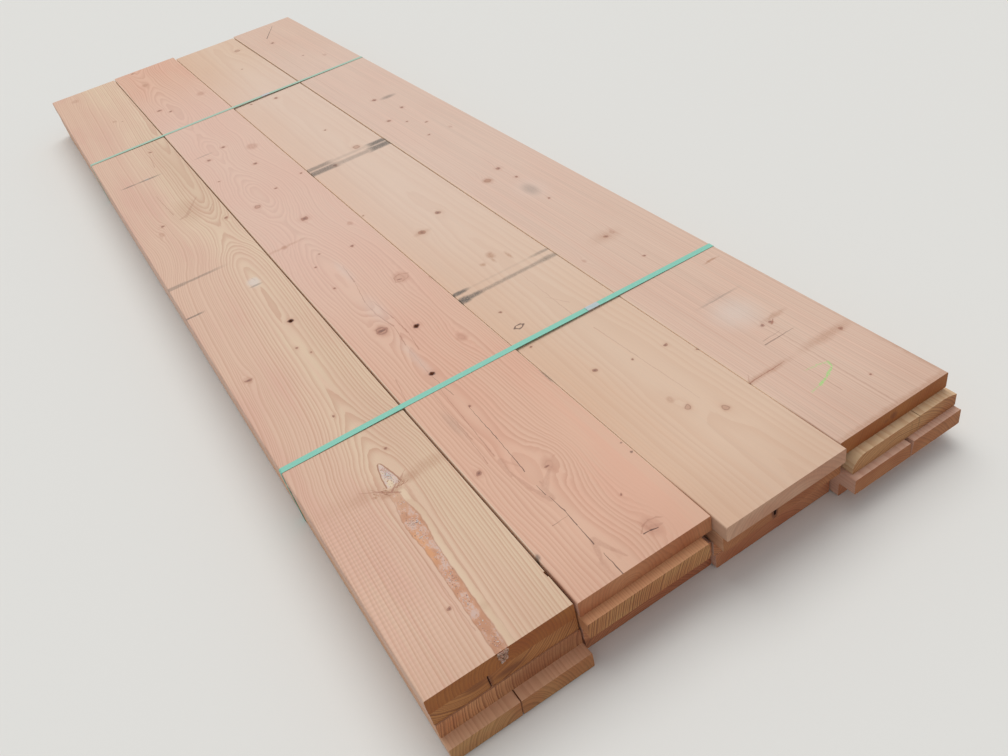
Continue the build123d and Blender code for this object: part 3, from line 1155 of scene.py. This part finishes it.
# Clusters on the streak: middle along it, spread along and across, how many, size
clusters = [
    (22, 20, 6, 16, 3.2), (66, 16, 6, 10, 3), (122, 9, 7, 14, 3.4), (176, 32, 7, 36, 3),
    (236, 22, 7, 10, 2.6), (300, 20, 8, 22, 3.4), (338, 12, 10, 34, 4.2), (392, 26, 7, 8, 2.6),
]
for middle, spread, wide, count, size in clusters:
    for _ in range(count):
        along = middle + dice.gauss(0, spread / 2)
        across = streak_across + streak_slope * along + dice.uniform(-wide, wide)
        lump, height = size * dice.uniform(0.5, 1.1), dice.uniform(0.8, 2)
        add_crumb(crumbs, (across, max(along, 2), 0), lump, height)

# The pointed pocket is half filled
for _ in range(70):
    along = dice.triangular(456, 516, 486)
    half = 12 * math.sqrt((lens_tip - along) / (lens_tip - lens_start))
    across = lens_middle + 2 + dice.triangular(-half, half, 0)
    add_crumb(crumbs, (across, along, 0), dice.uniform(1.8, 4.6), dice.uniform(0.8, 2.2))

# The run over the end, wide at the edge and narrow below
drip_length, drip_across = 33, 145
drip_half, drip_narrowing = 11, 6.5
for _ in range(130):
    down = dice.triangular(0, drip_length, 4)
    half = drip_half - drip_narrowing * down / drip_length
    across = drip_across + dice.uniform(-half, half)
    out = dice.uniform(0, 2.6) * (1 - 0.5 * down / drip_length)
    add_crumb(crumbs, (across, -out, -down), dice.uniform(2.4, 5.6), dice.uniform(2, 4.5), 90)

resin_crumbs = joined("resin_crumbs", crumbs, resin)
resin_crumbs.data.shade_smooth()
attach(resin_crumbs, "root")
print("resin triangles:", len(resin_crumbs.data.polygons))

# %% [markdown]
# ## Torn grain
# The planer's knives lift the grain where it turns round the whorl, and leave short slivers
# that stand up a little. Each is a thin blade that lies along the turned grain.

# %% Slivers
slivers = bmesh.new()
whorl = (162, 440)
sliver_count = 70
for _ in range(sliver_count):
    turn = dice.choice((-1, 1))
    away = dice.uniform(6, 34)
    bearing = math.radians(dice.gauss(38, 14))
    across = whorl[0] + turn * away * math.cos(bearing)
    along = whorl[1] + away * math.sin(bearing) * dice.uniform(0.2, 1.1) - 4
    length, width, lift = dice.uniform(5, 15), dice.uniform(0.6, 1.5), dice.uniform(0.3, 1.1)
    pointing = Vector((turn * math.cos(bearing), math.sin(bearing), 0))
    beside = Vector((-pointing.y, pointing.x, 0))
    foot = Vector((across, along, -0.2))
    corners = [
        foot - beside * width / 2, foot + beside * width / 2,
        foot + pointing * length + Vector((0, 0, lift)),
        foot + pointing * length * 0.6 + Vector((0, 0, -0.3)),
    ]
    points = [slivers.verts.new(spot(*corner)) for corner in corners]
    for face in ((0, 1, 2), (0, 2, 3), (1, 3, 2), (0, 3, 1)):
        slivers.faces.new([points[index] for index in face])

torn, torn_shader, torn_metres = new_material("torn_wood")
torn_lumps = cloud(torn_metres / MILLIMETRES, (5, 5, 5), 2)
torn_colour = mix(torn_lumps, srgb(166, 112, 84), srgb(206, 160, 128))
fill(torn_shader, Base_Color=torn_colour, Roughness=0.75)
torn_grain = joined("torn_grain", slivers, torn)
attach(torn_grain, "root")
print("slivers:", sliver_count)

# %% [markdown]
# ## The straps
# Plastic strap is drawn and embossed between rollers, so it is glossy with a fine waffle. Where
# its end was welded down by a hot, vibrating jaw, the plastic turned whitish and dull.

# %% Strap plastic
weld_length = 34
waffle_run, waffle_across, weld_ridges = 2.6, 3.2, 4.2


def strap_material(name, weld_from, pale_grey_share):
    """Green strap plastic, whitened over the weld, with a share of pale grey-green in patches."""
    material, shader, metres = new_material(name)
    place = off_hook(metres)
    across, along, up = split(place)
    run = across + up
    waffle = step("SINE", run * waffle_run) * step("SINE", along * waffle_across)
    drawn = cloud(place, (60, 0.9, 60), 2)
    scuffs = cloud(place, (9, 4, 9), 3, 2)
    green = mix(drawn, srgb(98, 184, 162), srgb(132, 202, 184))
    green = mix(ease(scuffs, 0.58, 0.8) * 0.35, green, srgb(196, 226, 214))
    # Patches of pale grey-green, strong on the far strap and faint on the near one
    green = mix(ease(scuffs, 0.2, 0.7, 0.6, 1) * pale_grey_share, green, srgb(186, 188, 168))
    weld_end = weld_from + weld_length
    weld = hump(across, weld_from - 1, weld_from + 1, weld_end - 1, weld_end + 1)
    weld = weld * ease(up, -20, -15)
    ridges = step("SINE", across * weld_ridges)
    welded = mix(ease(scuffs, 0.35, 0.65), srgb(176, 190, 196), srgb(206, 196, 204))
    green = mix(weld * 0.85, green, welded)
    fill(shader, Base_Color=green, Roughness=0.34 + scuffs * 0.2 + weld * 0.2)
    emboss(shader, waffle * 0.05 + drawn * 0.06 + ridges * weld * 0.12, 0.5)
    return material


dress("strap_near", strap_material("strap_near_plastic", 776, 0.05))
dress("strap_far", strap_material("strap_far_plastic", 700, 0.6))
print("straps dressed")
